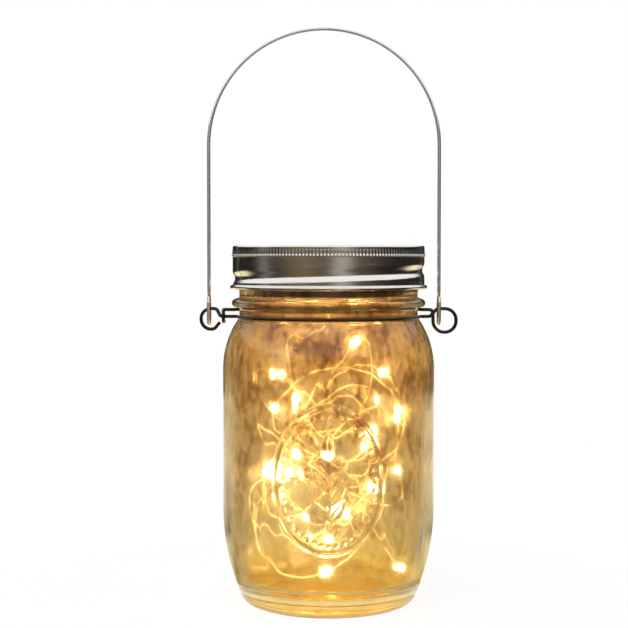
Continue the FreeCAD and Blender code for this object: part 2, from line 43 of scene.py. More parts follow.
# A socket of a node tree. Arithmetic on it adds Math nodes.
class Flow:
    def __init__(self, tree, socket):
        self.tree = tree
        self.socket = socket

    def math(self, operation, first, second):
        return self.tree.add("ShaderNodeMath", {"operation": operation}, {0: first, 1: second})

    def __add__(self, other):
        return self.math("ADD", self, other)

    __radd__ = __add__

    def __sub__(self, other):
        return self.math("SUBTRACT", self, other)

    def __rsub__(self, other):
        return self.math("SUBTRACT", other, self)

    def __mul__(self, other):
        return self.math("MULTIPLY", self, other)

    __rmul__ = __mul__

    def __truediv__(self, other):
        return self.math("DIVIDE", self, other)

    def __pow__(self, other):
        return self.math("POWER", self, other)

    def most(self, other):
        return self.math("MAXIMUM", self, other)

    def over(self, other):
        return self.math("GREATER_THAN", self, other)

    def repeat(self, length):
        return self.math("FLOORED_MODULO", self, length)

    def far(self):
        return self.math("ABSOLUTE", self, 0.0)


# A node tree being written: its nodes come from add, and the other methods are short ways to call that
class Finish:
    def __init__(self, name, tree=None):
        if tree is None:
            self.material = bpy.data.materials.new(name)
            self.material.use_nodes = True
            tree = self.material.node_tree
        self.tree = tree
        self.tree.nodes.clear()

    def add(self, kind, settings=None, sockets=None, output=0):
        node = self.tree.nodes.new(kind)
        for name, setting in (settings or {}).items():
            if name == "stops":
                while len(node.color_ramp.elements) < len(setting):
                    node.color_ramp.elements.new(0.5)
                for element, (position, colour) in zip(node.color_ramp.elements, setting):
                    element.position = position
                    element.color = (*colour, 1.0)
            else:
                setattr(node, name, setting)
        for name, value in (sockets or {}).items():
            socket = node.inputs[name]
            if isinstance(value, Flow):
                self.tree.links.new(value.socket, socket)
            elif socket.type == "RGBA":
                socket.default_value = (*value, 1.0)
            else:
                socket.default_value = value
        return Flow(self, node.outputs[output]) if node.outputs else None

    def place(self, axis):
        spot = self.add("ShaderNodeTexCoord", output="Object")
        return self.add("ShaderNodeSeparateXYZ", None, {"Vector": spot}, axis)

    def noise(self, scale, detail, stretch=None):
        spot = self.add("ShaderNodeTexCoord", output="Object")
        if stretch:
            spot = self.add("ShaderNodeMapping", None, {"Vector": spot, "Scale": stretch})
        return self.add("ShaderNodeTexNoise", None, {"Vector": spot, "Scale": scale, "Detail": detail})

    def attribute(self, name, output):
        return self.add("ShaderNodeAttribute", {"attribute_name": name}, None, output)

    # Sockets 6 and 7 and output 2 are the colours of a Mix node
    def mix(self, factor, first, second, blend="MIX"):
        settings = {"data_type": "RGBA", "blend_type": blend}
        return self.add("ShaderNodeMix", settings, {0: factor, 6: first, 7: second}, 2)

    def ramp(self, factor, stops):
        return self.add("ShaderNodeValToRGB", {"stops": stops}, {0: factor})

    def bump(self, height, distance, strength):
        sockets = {"Height": height, "Distance": distance, "Strength": strength}
        return self.add("ShaderNodeBump", None, sockets)

    def surface(self, **sockets):
        named = {name.replace("_", " "): value for name, value in sockets.items()}
        return self.add("ShaderNodeBsdfPrincipled", None, named)

    def glow(self, colour):
        return self.add("ShaderNodeEmission", None, {"Color": colour, "Strength": 1.0})

    def mixSurfaces(self, factor, first, second):
        return self.add("ShaderNodeMixShader", None, {0: factor, 1: first, 2: second})

    def done(self, shader):
        self.add("ShaderNodeOutputMaterial", None, {"Surface": shader})
        return self.material


# Camera at the photo's angle: not rolled, turned a little to the left and down
view = {
    "away": 541 * mm,
    "height": 130 * mm,
    "lens": 82.4,
    "sensor": 36,
    "nearest": 0.01,
    "left": 0.578,  # degrees
    "down": 2.29,
}
cameraData = bpy.data.cameras.new("camera")
cameraData.lens = view["lens"]
cameraData.sensor_width = view["sensor"]
cameraData.clip_start = view["nearest"]
camera = bpy.data.objects.new("camera", cameraData)
camera.location = (0, -view["away"], view["height"])
aim = Vector((-math.tan(math.radians(view["left"])), 1, -math.tan(math.radians(view["down"]))))
camera.rotation_mode = "QUATERNION"
camera.rotation_quaternion = aim.to_track_quat("-Z", "Y")
scene.collection.objects.link(camera)
scene.camera = camera


# Points of a rounded corner, from start to end round a middle, the short way
def roundOff(middle, start, end, steps):
    first = math.atan2(start[1] - middle[1], start[0] - middle[0])
    last = math.atan2(end[1] - middle[1], end[0] - middle[0])
    turn = (last - first + math.pi) % (2 * math.pi) - math.pi
    reach = math.hypot(start[0] - middle[0], start[1] - middle[1])
    points = []
    for i in range(steps + 1):
        angle = first + turn * i / steps
        points.append((middle[0] + reach * math.cos(angle), middle[1] + reach * math.sin(angle)))
    return points


# The same profile with no step longer than the gap
def closeUp(profile, gap):
    points = [profile[0]]
    for a, b in zip(profile, profile[1:]):
        count = max(1, math.ceil(math.hypot(b[0] - a[0], b[1] - a[1]) / gap(a, b)))
        for i in range(1, count + 1):
            points.append((a[0] + (b[0] - a[0]) * i / count, a[1] + (b[1] - a[1]) * i / count))
    return points


def newPiece(name, vertices, faces, material):
    mesh = bpy.data.meshes.new(name)
    mesh.from_pydata(vertices, [], faces)
    mesh.materials.append(material)
    mesh.polygons.foreach_set("use_smooth", [True] * len(mesh.polygons))
    mesh.update()
    piece = bpy.data.objects.new(name, mesh)
    scene.collection.objects.link(piece)
    return piece


# Turns a profile in millimetres about the axis. shape moves each point in or out,
# and loop closes the profile on itself.
def turned(name, profile, angles, shape, loop, material):
    vertices = []
    rows = []
    for row, (r, z) in enumerate(profile):
        if r < 0.001:  # on the axis, where one point makes the row
            rows.append([len(vertices)] * len(angles))
            vertices.append((0, 0, z * mm))
            continue
        rows.append(list(range(len(vertices), len(vertices) + len(angles))))
        for angle in angles:
            reach, height = shape(row, angle, r, z)
            vertices.append((reach * math.cos(angle) * mm, reach * math.sin(angle) * mm, height * mm))
    if loop:
        rows.append(rows[0])
    faces = []
    for low, high in zip(rows, rows[1:]):
        for i in range(len(angles)):
            j = (i + 1) % len(angles)
            corners = [low[i], low[j], high[j], high[i]]
            faces.append([c for k, c in enumerate(corners) if c not in corners[:k]])
    return newPiece(name, vertices, faces, material)


# Eases from 0 to 1
def soft(x):
    x = min(1.0, max(0.0, x))
    return x * x * (3 - 2 * x)


# A Geometry Nodes tree: returns the group, a short way to add nodes to it and its input node
def newTree(name, inputs):
    group = bpy.data.node_groups.new(name, "GeometryNodeTree")
    group.interface.new_socket("Geometry", in_out="INPUT", socket_type="NodeSocketGeometry")
    for label, (kind, value) in inputs.items():
        socket = group.interface.new_socket(label, in_out="INPUT", socket_type=kind)
        socket.default_value = value
    group.interface.new_socket("Geometry", in_out="OUTPUT", socket_type="NodeSocketGeometry")

    def add(kind, settings, sockets):
        node = group.nodes.new(kind)
        for label, setting in settings.items():
            setattr(node, label, setting)
        for label, value in sockets.items():
            if isinstance(value, bpy.types.NodeSocket):
                group.links.new(value, node.inputs[label])
            else:
                node.inputs[label].default_value = value
        return node

    return group, add, group.nodes.new("NodeGroupInput")


# Runs a tree on a piece, with its inputs, and leaves the plain mesh
def grown(piece, group, values):
    modifier = piece.modifiers.new(group.name, "NODES")
    modifier.node_group = group
    for item in group.interface.items_tree:
        if item.in_out == "INPUT" and item.name in values:
            modifier[item.identifier] = values[item.name]
    bpy.context.view_layer.update()
    result = bpy.data.meshes.new_from_object(piece.evaluated_get(bpy.context.evaluated_depsgraph_get()))
    piece.modifiers.remove(modifier)
    piece.data = result
    piece.data.polygons.foreach_set("use_smooth", [True] * len(result.polygons))
    return piece


# Copper wire of the string of lights, with a painted glow for the light of its drops, bright in some
# stretches and dim in others
wireFinish = Finish("copperWire")
wireWear = wireFinish.noise(scale=900.0, detail=2.0)
# Painted light: emission on the wire for the drops' light falling on it, with dim and bright stretches set
# by a noise
paintedWireGlow = wireFinish.ramp(
    wireFinish.noise(scale=60.0, detail=1.0),
    [(0.40, (0.10, 0.05, 0.015)), (0.46, (1.0, 0.76, 0.36)), (0.62, (1.0, 0.92, 0.62))],
)
copperWire = wireFinish.done(
    wireFinish.surface(
        Base_Color=wireFinish.mix(wireWear, (0.86, 0.58, 0.24), (0.95, 0.74, 0.40)),
        Metallic=1.0,
        Roughness=wireWear * 0.2 + 0.2,
        Emission_Color=paintedWireGlow,
        Emission_Strength=2.0,
    )
)

lights = {
    "wire": 0.6,
    "loops": 12,
    "pointsPerTurn": 24,
    "leadPoints": 3,  # points of the first turn that the lead stands for
    "top": 84.75,
    "bottom": 24.47,
    "radius": 21.85,
    "swell": (7.41, 0.243, 4.269),  # amount, waves a turn, start
    "ripple": (1.764, 0.915, 5.496),
    "tilt": 15.61,
    "tiltChange": (3.31, 0.403),
    "turning": 1.465,
    "lead": [
        (0, 13.5, 117.4),
        (0, 13.5, 113.6),
        (0, 13.5, 108.0),
        (-1.0, 13.6, 103.5),
        (-5.5, 12.5, 100.5),
    ],
    "exit": (0, 13.5, 113.6),
    "drops": 28,
    "firstDrop": 60.0,
    "dropRadius": 1.6,
    "dropHalf": 2.1,
}


# A point of the loose coil after a number of turns
def coilPoint(turns):
    full = 2 * math.pi
    radius = lights["radius"]
    for amount, rate, start in (lights["swell"], lights["ripple"]):
        radius += amount * math.sin(full * rate * turns + start)
    change, rate = lights["tiltChange"]
    tilt = lights["tilt"] + change * math.sin(full * rate * turns)
    height = lights["top"] - (lights["top"] - lights["bottom"]) * turns / lights["loops"]
    height += tilt * math.sin(full * lights["turning"] * turns)
    angle = full * turns + math.pi / 2
    return radius * math.cos(angle), radius * math.sin(angle), height


lastPoint = lights["loops"] * lights["pointsPerTurn"]
route = list(lights["lead"])
route += [coilPoint(i / lights["pointsPerTurn"]) for i in range(lights["leadPoints"], lastPoint + 1)]
cordCurve = bpy.data.curves.new("lightString", "CURVE")
cordCurve.dimensions = "3D"
spline = cordCurve.splines.new("NURBS")
spline.points.add(len(route) - 1)
for point, place in zip(spline.points, route):
    point.co = (*(c * mm for c in place), 1.0)
spline.order_u = 3
spline.use_endpoint_u = True
spline.resolution_u = 6
lightString = bpy.data.objects.new("lightString", cordCurve)
scene.collection.objects.link(lightString)
cordCurve.materials.append(copperWire)
bpy.context.view_layer.update()
line = bpy.data.meshes.new_from_object(lightString)
linePoints = [v.co.copy() for v in line.vertices]
lineLength = sum((b - a).length for a, b in zip(linePoints, linePoints[1:]))
cordCurve.bevel_depth = lights["wire"] / 2 * mm
cordCurve.bevel_resolution = 2
cordCurve.use_fill_caps = True
print("light string:", len(route), "points,", round(lineLength, 4), "m long")


# Places and headings along a line of points, at the given distances
def along(points, distances):
    found = []
    passed = 0.0
    wanted = list(distances)
    for a, b in zip(points, points[1:]):
        step = (b - a).length
        while wanted and wanted[0] <= passed + step:
            found.append((a.lerp(b, (wanted.pop(0) - passed) / step), (b - a).normalized()))
        passed += step
    return found


# Resin drops: palest round the middle, where the light sits, and more golden towards the tails
dropFinish = Finish("litResin")
core = dropFinish.attribute("core", "Fac")
dropGrain = dropFinish.noise(scale=700.0, detail=2.0)
litResin = dropFinish.done(
    dropFinish.surface(
        Base_Color=dropFinish.mix(core, (0.95, 0.80, 0.45), (1.0, 0.95, 0.8)),
        Roughness=dropGrain * 0.15 + 0.1,
        Emission_Color=dropFinish.mix(core, (1.0, 0.74, 0.34), (1.0, 0.94, 0.78)),
        Emission_Strength=48.0,
    )
)

spacing = (lineLength - (lights["firstDrop"] + lights["dropHalf"]) * mm) / (lights["drops"] - 1)
dropSpots = along(linePoints, [lights["firstDrop"] * mm + i * spacing for i in range(lights["drops"])])
seeds = bpy.data.meshes.new("lightDrops")
seeds.from_pydata([spot for spot, heading in dropSpots], [], [])
seeds.attributes.new("heading", "FLOAT_VECTOR", "POINT")
for item, (spot, heading) in zip(seeds.attributes["heading"].data, dropSpots):
    item.vector = heading
lightDrops = bpy.data.objects.new("lightDrops", seeds)
scene.collection.objects.link(lightDrops)

dropTree, add, given = newTree(
    "dropsOnWire", {"Radius": ("NodeSocketFloat", 0.001), "Half length": ("NodeSocketFloat", 0.001)}
)
ball = add("GeometryNodeMeshUVSphere", {}, {"Segments": 16, "Rings": 12, "Radius": 1.0})
ballPlace = add("GeometryNodeInputPosition", {}, {})
ballParts = add("ShaderNodeSeparateXYZ", {}, {0: ballPlace.outputs[0]})
ballHeight = ballParts.outputs["Z"]
square = add("ShaderNodeMath", {"operation": "MULTIPLY"}, {0: ballHeight, 1: ballHeight})
middle = add("ShaderNodeMath", {"operation": "SUBTRACT"}, {0: 1.0, 1: square.outputs[0]})
marked = add(
    "GeometryNodeStoreNamedAttribute",
    {"data_type": "FLOAT", "domain": "POINT"},
    {"Geometry": ball.outputs[0], "Name": "core", "Value": middle.outputs[0]},
)
size = add(
    "ShaderNodeCombineXYZ",
    {},
    {0: given.outputs["Radius"], 1: given.outputs["Radius"], 2: given.outputs["Half length"]},
)
heading = add("GeometryNodeInputNamedAttribute", {"data_type": "FLOAT_VECTOR"}, {"Name": "heading"})
turn = add("FunctionNodeAlignRotationToVector", {"axis": "Z"}, {"Vector": heading.outputs[0]})
strung = add(
    "GeometryNodeInstanceOnPoints",
    {},
    {
        "Points": given.outputs["Geometry"],
        "Instance": marked.outputs[0],
        "Rotation": turn.outputs[0],
        "Scale": size.outputs[0],
    },
)
real = add("GeometryNodeRealizeInstances", {}, {"Geometry": strung.outputs[0]})
dressed = add("GeometryNodeSetMaterial", {}, {"Geometry": real.outputs[0], "Material": litResin})
add("NodeGroupOutput", {}, {"Geometry": dressed.outputs[0]})
grown(lightDrops, dropTree, {"Radius": lights["dropRadius"] * mm, "Half length": lights["dropHalf"] * mm})
stringPieces = ((lightString, "light_wire", "copper_wire"), (lightDrops, "light_beads", "lit_resin"))
for piece, node, slot in stringPieces:
    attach(piece, "lid")
    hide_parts(node)
print("light drops:", len(dropSpots))


# Pressed glass, its amber colour a painted warm glow of the lights: clear for the most part, with a soft
# part that spreads each light
glassLook = {
    "tall": 0.130,  # height over which the tint changes
    # Painted light: amber colours by height that stand in for the warm light of the string in the glass
    "paintedGlowTint": [
        (0.0, (0.95, 0.53, 0.07)),
        (0.07, (0.97, 0.69, 0.19)),
        (0.12, (0.86, 0.67, 0.30)),
        (0.20, (0.77, 0.64, 0.36)),
        (0.42, (0.72, 0.57, 0.31)),
        (0.62, (0.73, 0.54, 0.27)),
        (0.76, (0.80, 0.56, 0.25)),
        (0.84, (0.80, 0.53, 0.23)),
        (0.93, (0.82, 0.57, 0.27)),
    ],
    # Painted light and shade: a random mottle with dark patches of painted shade and pale patches of
    # painted highlight, the palest above 1
    "paintedLightMottle": [(0.41, (0.40, 0.25, 0.11)), (0.50, (0.95, 0.91, 0.82)), (0.58, (1.12, 1.12, 1.06))],
    "paintedLightMottleRise": [(0.08, (0.25, 0.25, 0.25)), (0.55, (1.0, 1.0, 1.0))],  # fainter near the base
    "broadShare": 0.55,
    "fineShare": 0.45,
    "clear": 0.02,  # roughness of the three parts of the glass, and the shares of two
    "hazy": 0.155,
    "frosty": 0.40,
    "hazyShare": 0.32,
    "frostyShare": 0.17,
}
glassFinish = Finish("jarGlass")
rise = glassFinish.place("Z") / glassLook["tall"]
broadCloud = glassFinish.noise(scale=110.0, detail=5.0, stretch=(1.0, 1.0, 0.7))
fineCloud = glassFinish.noise(scale=430.0, detail=3.0, stretch=(1.0, 1.0, 0.6))
cloud = broadCloud * glassLook["broadShare"] + fineCloud * glassLook["fineShare"]
paintedLightMottle = glassFinish.ramp(cloud, glassLook["paintedLightMottle"])
paintedLightMottleRise = glassFinish.ramp(rise, glassLook["paintedLightMottleRise"])
paintedGlowTint = glassFinish.mix(paintedLightMottleRise, glassFinish.ramp(rise, glassLook["paintedGlowTint"]), paintedLightMottle, "MULTIPLY")
grain = glassFinish.noise(scale=240.0, detail=2.0, stretch=(1.0, 1.0, 0.25))
glassy = {
    "Base_Color": paintedGlowTint,
    "IOR": 1.5,
    "Transmission_Weight": 1.0,
    "Specular_IOR_Level": 0.08,
    "Normal": glassFinish.bump(grain, distance=0.0006, strength=0.16),
}
clear = glassFinish.surface(Roughness=glassLook["clear"], **glassy)
hazy = glassFinish.surface(Roughness=glassLook["hazy"], **glassy)
frosty = glassFinish.surface(Roughness=glassLook["frosty"], **glassy)
lightly = glassFinish.mixSurfaces(glassLook["hazyShare"], clear, hazy)
jarGlass = glassFinish.done(glassFinish.mixSurfaces(glassLook["frostyShare"], lightly, frosty))

jar = {
    "height": 130.3,
    "radius": 39.7,
    "neck": 33.5,
    "mouth": 29.8,
    "wall": 3.0,
    "shoulder": 88.0,
    "shoulderRadius": 33.0,
    "innerRound": 6.0,
    "heel": 36.0,
    "heelRadius": 85.0,
    "corner": 4.5,
    "ring": 4.8,
    "recess": 1.5,
    "slope": 2.0,
    "floor": 5.0,
    "floorCorner": 8.0,
    "beadMiddle": 112.611,
    "beadHalf": 1.5,
    "beadReach": 2.85,
    "beadCrown": 1.35,
    "beadFlank": 0.6,
    "rim": 0.8,
    "threadStart": 118.6,
    "threadPitch": 6.35,
    "threadTurns": 1.35,
    "threadHeight": 0.85,
    "threadHalf": 1.1,
    "threadFade": 0.12,  # part of a turn over which each end dies away
    "threadFoot": 116.5,
    "threadClear": 0.9,  # under the rim
    "neckSlack": 0.2,
    "outerWave": 0.10,
    "innerWave": 0.35,
    "outerFade": (3, 12, 103, 10),  # foot of the waves and the run there, their head and the run there
    "innerFade": (7, 12, 108, 14),
    "streaks": [  # share, waves round, twist upwards, start
        (0.5, 7, 0.04, 0),
        (0.3, 17, -0.07, 1),
        (0.2, 31, 0.11, 2),
    ],
    "sway": (0.4, 0.21, 3),  # share, waves upwards, waves round
    "ornamentZone": (20, 84),
    "ornamentHalf": 0.7,  # radians to each side of the front
    "ornamentGap": 0.5,
    "threadZone": 116,
    "threadGap": 0.7,
    "plainGap": 1.4,
    "innerGap": 1.6,
    "frontStep": 0.65,  # degrees
    "backStep": 3.0,
    "frontHalf": 38.0,
    "steps": {  # steps round each corner of the profile
        "corner": 10,
        "heel": 24,
        "shoulder": 30,
        "bead": 10,
        "rim": 6,
        "innerRound": 10,
        "innerShoulder": 20,
        "innerHeel": 16,
        "floorCorner": 10,
    },
}


# The longest step of the outer profile: short where the ornament and the thread are
def jarGap(a, b):
    low, high = jar["ornamentZone"]
    if low < a[1] < high:
        return jar["ornamentGap"]
    return jar["threadGap"] if a[1] > jar["threadZone"] else jar["plainGap"]


def jarProfile():
    s = jar
    steps = s["steps"]
    shoulder = (s["radius"] - s["shoulderRadius"], s["shoulder"])
    heel = (s["radius"] - s["heelRadius"], s["heel"])
    cornerSide = s["heelRadius"] - s["corner"]
    corner = (heel[0] + math.sqrt(cornerSide**2 - (s["heel"] - s["corner"]) ** 2), s["corner"])
    lean = math.atan2(corner[1] - heel[1], corner[0] - heel[0])
    heelEnd = (heel[0] + s["heelRadius"] * math.cos(lean), heel[1] + s["heelRadius"] * math.sin(lean))
    groove = s["shoulder"] + math.sqrt(s["shoulderRadius"] ** 2 - (s["neck"] - shoulder[0]) ** 2)
    crown = s["neck"] + s["beadReach"] - s["beadCrown"]
    low = s["beadMiddle"] - s["beadHalf"]
    high = s["beadMiddle"] + s["beadHalf"]
    bead = s["beadCrown"]
    beadRadius = (bead**2 + s["beadHalf"] ** 2) / (2 * bead)
    beadCentre = (s["neck"] + s["beadReach"] - beadRadius, s["beadMiddle"])
    ringInner = corner[0] - s["ring"]
    outer = [(0, s["recess"]), (ringInner - s["slope"], s["recess"]), (ringInner, 0)]
    outer += roundOff(corner, (corner[0], 0), heelEnd, steps["corner"])
    outer += roundOff(heel, heelEnd, (s["radius"], s["heel"]), steps["heel"])
    outer += roundOff(shoulder, (s["radius"], s["shoulder"]), (s["neck"], groove), steps["shoulder"])
    outer += [(s["neck"], low - s["beadFlank"])]
    outer += roundOff(beadCentre, (crown, low), (crown, high), steps["bead"])
    outer += [(s["neck"], high + s["beadFlank"])]
    rim = s["height"] - s["rim"]
    rimOuter = s["neck"] - s["rim"]
    outer += roundOff((rimOuter, rim), (s["neck"], rim), (rimOuter, s["height"]), steps["rim"])
    mouth = s["mouth"] + s["rim"]
    outer += roundOff((mouth, rim), (mouth, s["height"]), (s["mouth"], rim), steps["rim"])
    innerRadius = s["shoulderRadius"] - s["wall"]
    roundX = s["mouth"] + s["innerRound"]
    roundRise = math.sqrt((innerRadius + s["innerRound"]) ** 2 - (roundX - shoulder[0]) ** 2)
    roundMiddle = (roundX, s["shoulder"] + roundRise)
    lean = math.atan2(roundRise, roundX - shoulder[0])
    roundFoot = (shoulder[0] + innerRadius * math.cos(lean), s["shoulder"] + innerRadius * math.sin(lean))
    wall = s["radius"] - s["wall"]
    innerHeel = s["heelRadius"] - s["wall"]
    side = innerHeel - s["floorCorner"]
    drop = s["heel"] - s["floor"] - s["floorCorner"]
    floorMiddle = (heel[0] + math.sqrt(side**2 - drop**2), s["floor"] + s["floorCorner"])
    lean = math.atan2(-drop, floorMiddle[0] - heel[0])
    floorTop = (heel[0] + innerHeel * math.cos(lean), heel[1] + innerHeel * math.sin(lean))
    inner = roundOff(roundMiddle, (s["mouth"], roundMiddle[1]), roundFoot, steps["innerRound"])
    inner += roundOff(shoulder, roundFoot, (wall, s["shoulder"]), steps["innerShoulder"])
    inner += roundOff(heel, (wall, s["heel"]), floorTop, steps["innerHeel"])
    inner += roundOff(floorMiddle, floorTop, (floorMiddle[0], s["floor"]), steps["floorCorner"])
    inner += [(0, s["floor"])]
    outer = closeUp(outer, jarGap)
    return outer, closeUp(outer[-1:] + inner, lambda a, b: s["innerGap"])[1:]


# Raised ornament on the front: an oval rib, a ring of small studs and a leafy sprig
sprig = {
    "middle": 51.0,
    "margin": 2.0,
    "ovalWide": 20.0,
    "ovalTall": 26.0,
    "rib": 0.9,
    "ribHeight": 0.5,
    "studs": 40,
    "studInset": 3.0,
    "stud": 0.8,
    "studHeight": 0.4,
    "studSteep": 1.3,
    "stemFoot": -17.0,
    "stemHead": 9.0,
    "stemHalf": 0.7,
    "stemHeight": 0.4,
    "stemSteep": 1.4,
    "leafFeet": (-14.0, -8.5, -3.0, 2.5),
    "leafLength": (9.5, 11.0, 10.0, 8.0),
    "leafLean": 38.0,
    "leafHalf": 2.1,
    "leafLeast": 0.05,  # half width at which a leaf's ends are cut
    "leafSwell": 0.8,  # under 1, a leaf is widest nearer its foot
    "leafHeight": 0.55,
    "veinHalf": 0.5,
    "veinDepth": 0.45,
    "tipLength": 10.0,
    "tipSunk": 1.5,
}


# Height of a leaf that starts on the stem, at a place across and up from the ornament's middle
def leafRise(u, v, foot, lean, length):
    s = sprig
    up = v - foot
    run = u * math.sin(lean) + up * math.cos(lean)
    off = abs(u * math.cos(lean) - up * math.sin(lean))
    if run <= 0 or run >= length:
        return 0.0
    half = s["leafHalf"] * math.sin(math.pi * (run / length) ** s["leafSwell"])
    if half < s["leafLeast"] or off >= half:
        return 0.0
    edge = math.sqrt(1 - (off / half) ** 2)
    vein = 1 - s["veinDepth"] * soft(1 - off / s["veinHalf"])
    return s["leafHeight"] * edge * vein


def ornament(u, v):
    s = sprig
    if abs(u) > s["ovalWide"] + s["margin"] or abs(v) > s["ovalTall"] + s["margin"]:
        return 0.0
    around = math.atan2(v / s["ovalTall"], u / s["ovalWide"])
    reach = math.hypot(u / s["ovalWide"], v / s["ovalTall"])
    ovalRadius = math.hypot(s["ovalWide"] * math.cos(around), s["ovalTall"] * math.sin(around))
    fromRib = abs(reach - 1) * ovalRadius
    rise = s["ribHeight"] * soft(1 - fromRib / s["rib"])
    step = 2 * math.pi / s["studs"]
    nearest = round(around / step) * step
    studU = (s["ovalWide"] - s["studInset"]) * math.cos(nearest)
    studV = (s["ovalTall"] - s["studInset"]) * math.sin(nearest)
    fromStud = math.hypot(u - studU, v - studV)
    rise = max(rise, s["studHeight"] * soft(s["studSteep"] * (1 - fromStud / s["stud"])))
    if s["stemFoot"] < v < s["stemHead"]:
        rise = max(rise, s["stemHeight"] * soft(s["stemSteep"] * (1 - abs(u) / s["stemHalf"])))
    for foot, length in zip(s["leafFeet"], s["leafLength"]):
        for side in (-1, 1):
            rise = max(rise, leafRise(u * side, v, foot, math.radians(s["leafLean"]), length))
    return max(rise, leafRise(u, v, s["stemHead"] - s["tipSunk"], 0.0, s["tipLength"]))


outerProfile, innerProfile = jarProfile()
front = -math.pi / 2


# 1 along the body, dying away at its foot and head
def bodyShare(z, foot, footRun, head, headRun):
    return soft((z - foot) / footRun) * soft((head - z) / headRun)


# Waves in the glass, the ornament on the front and the thread on the neck
def jarShape(row, angle, r, z):
    s = jar
    aside = (angle - front + math.pi) % (2 * math.pi) - math.pi
    streak = 0.0
    for share, waves, twist, start in s["streaks"]:
        streak += share * math.sin(waves * angle + twist * z + start)
    if row >= len(outerProfile):
        share, twist, waves = s["sway"]
        sway = (1 - share) * streak + share * math.sin(twist * z + waves * angle)
        return r + s["innerWave"] * bodyShare(z, *s["innerFade"]) * sway, z
    reach = r - s["outerWave"] * bodyShare(z, *s["outerFade"]) * (0.5 + 0.5 * streak)
    low, high = s["ornamentZone"]
    if abs(aside) < s["ornamentHalf"] and low < z < high:
        reach += ornament(aside * s["radius"], z - sprig["middle"])
    if s["threadFoot"] < z < s["height"] - s["threadClear"] and r > s["neck"] - s["neckSlack"]:
        for lap in (0, 1):
            turns = (angle - front) / (2 * math.pi) % 1.0 + lap
            if turns > s["threadTurns"]:
                continue
            fade = soft(turns / s["threadFade"]) * soft((s["threadTurns"] - turns) / s["threadFade"])
            off = (z - s["threadStart"] - s["threadPitch"] * turns) / s["threadHalf"]
            reach = max(reach, r + s["threadHeight"] * fade * math.exp(-off * off))
    return reach, z


# Columns of the jar, closer together on the front
frontLow = math.degrees(front) - jar["frontHalf"]
frontHigh = math.degrees(front) + jar["frontHalf"]
frontSweep = 2 * jar["frontHalf"]
backSweep = 360 - frontSweep
fineCount = round(frontSweep / jar["frontStep"])
coarseCount = round(backSweep / jar["backStep"])
jarAngles = [math.radians(frontLow + frontSweep * i / fineCount) for i in range(fineCount)]
jarAngles += [math.radians(frontHigh + backSweep * i / coarseCount) for i in range(coarseCount)]
glassBody = turned("glassBody", outerProfile + innerProfile, jarAngles, jarShape, False, jarGlass)
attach(glassBody, "jar")
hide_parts("glass_jar")
print("glass:", len(glassBody.data.polygons), "faces")


# Tinplate, satin with fine rolling lines round the band
tinFinish = Finish("tinplate")
rolled = tinFinish.noise(scale=220.0, detail=4.0, stretch=(0.35, 0.35, 22.0))
blotch = tinFinish.noise(scale=70.0, detail=4.0)
tinplate = tinFinish.done(
    tinFinish.surface(
        Base_Color=tinFinish.mix(blotch, (0.78, 0.75, 0.71), (0.92, 0.90, 0.87)),
        Metallic=1.0,
        Roughness=rolled * 0.12 + blotch * 0.08 + 0.08,
        Normal=tinFinish.bump(rolled, distance=0.00008, strength=0.5),
    )
)

band = {
    "top": 134.0,
    "bottom": 117.8,
    "outer": 36.0,
    "sheet": 0.5,
    "lip": 30.2,
    "lipEdge": 0.1,
    "corner": 0.7,
    "cornerSteps": 6,
    "insideSteps": 4,
    "groove": 123.4,
    "groovePitch": 6.35,
    "grooveHalf": 2.5,
    "grooveDepth": 0.85,
    "grooveTurns": 0.62,  # to each side of the front
    "grooveFade": 0.14,
    "grooveSteep": 1.15,
    "hem": 0.8,
    "hemProud": 1.0,
    "hemSteps": 14,
    "hemClear": 0.2,
    "wallSlack": 0.02,
    "wallStep": 0.35,
    "flatStep": 2.0,
    "columns": 240,
    "flutes": 176,
    "fluteFoot": 129.75,
    "fluteTop": 132.95,
    "fluteHalf": 0.46,
    "fluteProud": 0.2,
    "fluteSunk": 0.05,
    "fluteSteps": 6,
    "fluteShape": [  # share of the height, width, how proud
        (0.0, 0.25, 0.0),
        (0.06, 0.9, 1.5),
        (0.13, 1.0, 2.3),
        (0.22, 1.0, 2.0),
        (0.32, 0.9, 0.9),
        (0.46, 0.85, 0.9),
        (0.62, 0.85, 0.8),
        (0.82, 0.8, 0.5),
        (1.0, 0.6, 0.15),
    ],
}


# Short steps up the wall, where the groove runs, and long ones across the top
def bandGap(a, b):
    return band["wallStep"] if abs(a[0] - b[0]) < 0.01 else band["flatStep"]


def bandProfile():
    s = band
    hem = (s["outer"] + s["hemProud"] - s["hem"], s["bottom"] + s["hem"])
    hemTop = hem[1] + math.sqrt(s["hem"] ** 2 - (hem[0] - s["outer"]) ** 2)
    inner = s["outer"] - s["sheet"]
    hemLow = hem[1] - math.sqrt(s["hem"] ** 2 - (hem[0] - inner) ** 2)
    corner = (s["outer"] - s["corner"], s["top"] - s["corner"])
    inside = s["corner"] - s["sheet"]
    foot = math.atan2(hemLow - hem[1], inner - hem[0])
    head = math.atan2(hemTop - hem[1], s["outer"] - hem[0])
    sweep = (head - foot) % (2 * math.pi)
    outside = []
    for i in range(s["hemSteps"] + 1):
        lean = foot + sweep * i / s["hemSteps"]
        outside.append((hem[0] + s["hem"] * math.cos(lean), hem[1] + s["hem"] * math.sin(lean)))
    outside += roundOff(corner, (s["outer"], corner[1]), (corner[0], s["top"]), s["cornerSteps"])
    lip = s["lip"]
    lipLow = s["top"] - s["sheet"]
    edge = s["lipEdge"]
    outside += [(lip + edge, s["top"]), (lip, s["top"] - edge)]
    outside += [(lip, lipLow + edge), (lip + edge, lipLow)]
    inX = inner - inside
    inZ = lipLow - inside
    outside += roundOff((inX, inZ), (inX, lipLow), (inner, inZ), s["insideSteps"])
    outside += [(inner, hemLow + s["hemClear"])]
    return closeUp(outside, bandGap)


